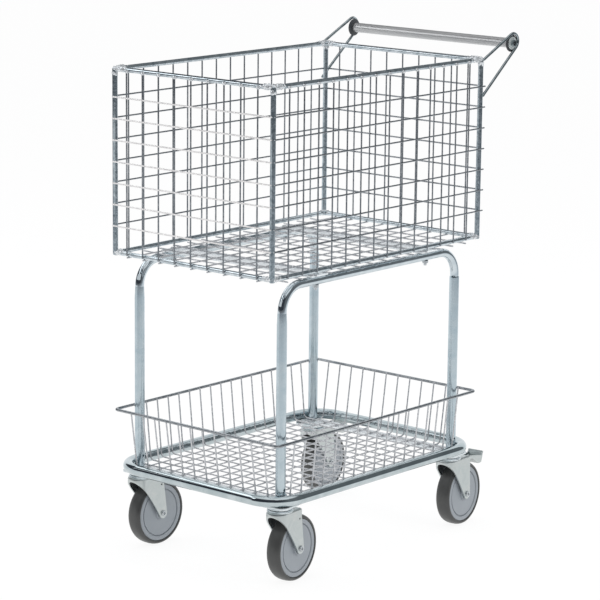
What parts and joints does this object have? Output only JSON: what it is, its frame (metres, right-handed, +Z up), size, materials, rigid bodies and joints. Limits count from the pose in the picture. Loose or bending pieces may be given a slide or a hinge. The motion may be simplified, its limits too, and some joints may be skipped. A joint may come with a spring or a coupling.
{
  "type": "wire basket cart",
  "caption": "Zinc-plated wire mail and file cart: deep mesh basket on bent tube frames over a shallow wire basket, with a push handle and swivel casters.",
  "frame": {"origin": "on the ground, under the middle of the overall width and length", "axes": "+Z up, +Y towards the push handle, +X to the right as seen from the front end looking towards the handle"},
  "size_m": [0.427, 0.7158, 0.9635],
  "materials": {
    "zinc_tube": "bright zinc-plated round tube and rod",
    "zinc_wire": "zinc-plated drawn wire, spot welded",
    "zinc_plate": "zinc-plated pressed sheet",
    "steel_bolt": "zinc-plated fasteners",
    "grip_plastic": "satin light grey plastic",
    "cap_plastic": "dark grey plastic",
    "hub_plastic": "grey moulded plastic",
    "tyre_rubber": "dark grey rubber"
  },
  "bodies": {
    "cart": {"basket_top_rim": "zinc_tube", "basket_bottom_rim": "zinc_tube", "corner_post_front_left": "zinc_tube", "corner_post_front_right": "zinc_tube", "corner_post_rear_left": "zinc_tube", "corner_post_rear_right": "zinc_tube", "handle_bracket_left": "zinc_tube", "handle_bracket_right": "zinc_tube", "side_frame_left": "zinc_tube", "side_frame_right": "zinc_tube", "base_ring": "zinc_tube", "mesh_panel_front": "zinc_wire", "mesh_panel_rear": "zinc_wire", "mesh_panel_left": "zinc_wire", "mesh_panel_right": "zinc_wire", "mesh_floor": "zinc_wire", "tray_floor": "zinc_wire", "tray_wall_left": "zinc_wire", "tray_wall_right": "zinc_wire", "tray_wall_front": "zinc_wire", "tray_wall_rear": "zinc_wire", "floor_strip_front": "zinc_plate", "floor_strip_rear": "zinc_plate", "caster_strip_front": "zinc_plate", "caster_strip_rear": "zinc_plate", "caster_plate_front_left": "zinc_plate", "caster_plate_front_right": "zinc_plate", "caster_plate_rear_left": "zinc_plate", "caster_plate_rear_right": "zinc_plate", "handle_bolt_left": "steel_bolt", "handle_bolt_right": "steel_bolt", "basket_bolt_front_left": "steel_bolt", "basket_bolt_front_right": "steel_bolt", "basket_bolt_rear_left": "steel_bolt", "basket_bolt_rear_right": "steel_bolt", "king_pin_front_left": "steel_bolt", "king_pin_front_right": "steel_bolt", "king_pin_rear_left": "steel_bolt", "king_pin_rear_right": "steel_bolt", "handle_tube": "grip_plastic", "handle_end_cap_left": "cap_plastic", "handle_end_cap_right": "cap_plastic"},
    "swivel_front_left": {"fork_front_left": "zinc_plate", "axle_front_left": "steel_bolt"},
    "wheel_front_left": {"hub_front_left": "hub_plastic", "tyre_front_left": "tyre_rubber"},
    "swivel_front_right": {"fork_front_right": "zinc_plate", "axle_front_right": "steel_bolt"},
    "wheel_front_right": {"hub_front_right": "hub_plastic", "tyre_front_right": "tyre_rubber"},
    "swivel_rear_left": {"fork_rear_left": "zinc_plate", "axle_rear_left": "steel_bolt"},
    "wheel_rear_left": {"hub_rear_left": "hub_plastic", "tyre_rear_left": "tyre_rubber"},
    "swivel_rear_right": {"fork_rear_right": "zinc_plate", "axle_rear_right": "steel_bolt"},
    "wheel_rear_right": {"hub_rear_right": "hub_plastic", "tyre_rear_right": "tyre_rubber"},
    "pedal_rear_left": {"brake_pedal_rear_left": "zinc_plate"},
    "pedal_rear_right": {"brake_pedal_rear_right": "zinc_plate"}
  },
  "joints": [
    {"name": "swivel_front_left", "type": "hinge", "parent": "cart", "child": "swivel_front_left", "pos_m": [-0.1744, -0.30127, 0.1371], "axis": [0, 0, 1], "continuous": true},
    {"name": "roll_front_left", "type": "hinge", "parent": "swivel_front_left", "child": "wheel_front_left", "pos_m": [-0.17374, -0.26327, 0.0625], "axis": [0.9998, -0.0175, 0], "continuous": true},
    {"name": "swivel_front_right", "type": "hinge", "parent": "cart", "child": "swivel_front_right", "pos_m": [0.1744, -0.30127, 0.1371], "axis": [0, 0, 1], "continuous": true},
    {"name": "roll_front_right", "type": "hinge", "parent": "swivel_front_right", "child": "wheel_front_right", "pos_m": [0.17043, -0.26348, 0.0625], "axis": [0.9945, 0.1045, 0], "continuous": true},
    {"name": "swivel_rear_left", "type": "hinge", "parent": "cart", "child": "swivel_rear_left", "pos_m": [-0.1744, 0.19913, 0.1371], "axis": [0, 0, 1], "continuous": true},
    {"name": "roll_rear_left", "type": "hinge", "parent": "swivel_rear_left", "child": "wheel_rear_left", "pos_m": [-0.17837, 0.23692, 0.0625], "axis": [0.9945, 0.1045, 0], "continuous": true},
    {"name": "swivel_rear_right", "type": "hinge", "parent": "cart", "child": "swivel_rear_right", "pos_m": [0.1744, 0.19913, 0.1371], "axis": [0, 0, 1], "continuous": true},
    {"name": "roll_rear_right", "type": "hinge", "parent": "swivel_rear_right", "child": "wheel_rear_right", "pos_m": [0.17043, 0.23692, 0.0625], "axis": [0.9945, 0.1045, 0], "continuous": true},
    {"name": "brake_rear_left", "type": "hinge", "parent": "swivel_rear_left", "child": "pedal_rear_left", "pos_m": [-0.17869, 0.23991, 0.1349], "axis": [-0.9945, -0.1045, 0], "range_deg": [0, 8]},
    {"name": "brake_rear_right", "type": "hinge", "parent": "swivel_rear_right", "child": "pedal_rear_right", "pos_m": [0.17011, 0.23991, 0.1349], "axis": [-0.9945, -0.1045, 0], "range_deg": [0, 8]}
  ]
}
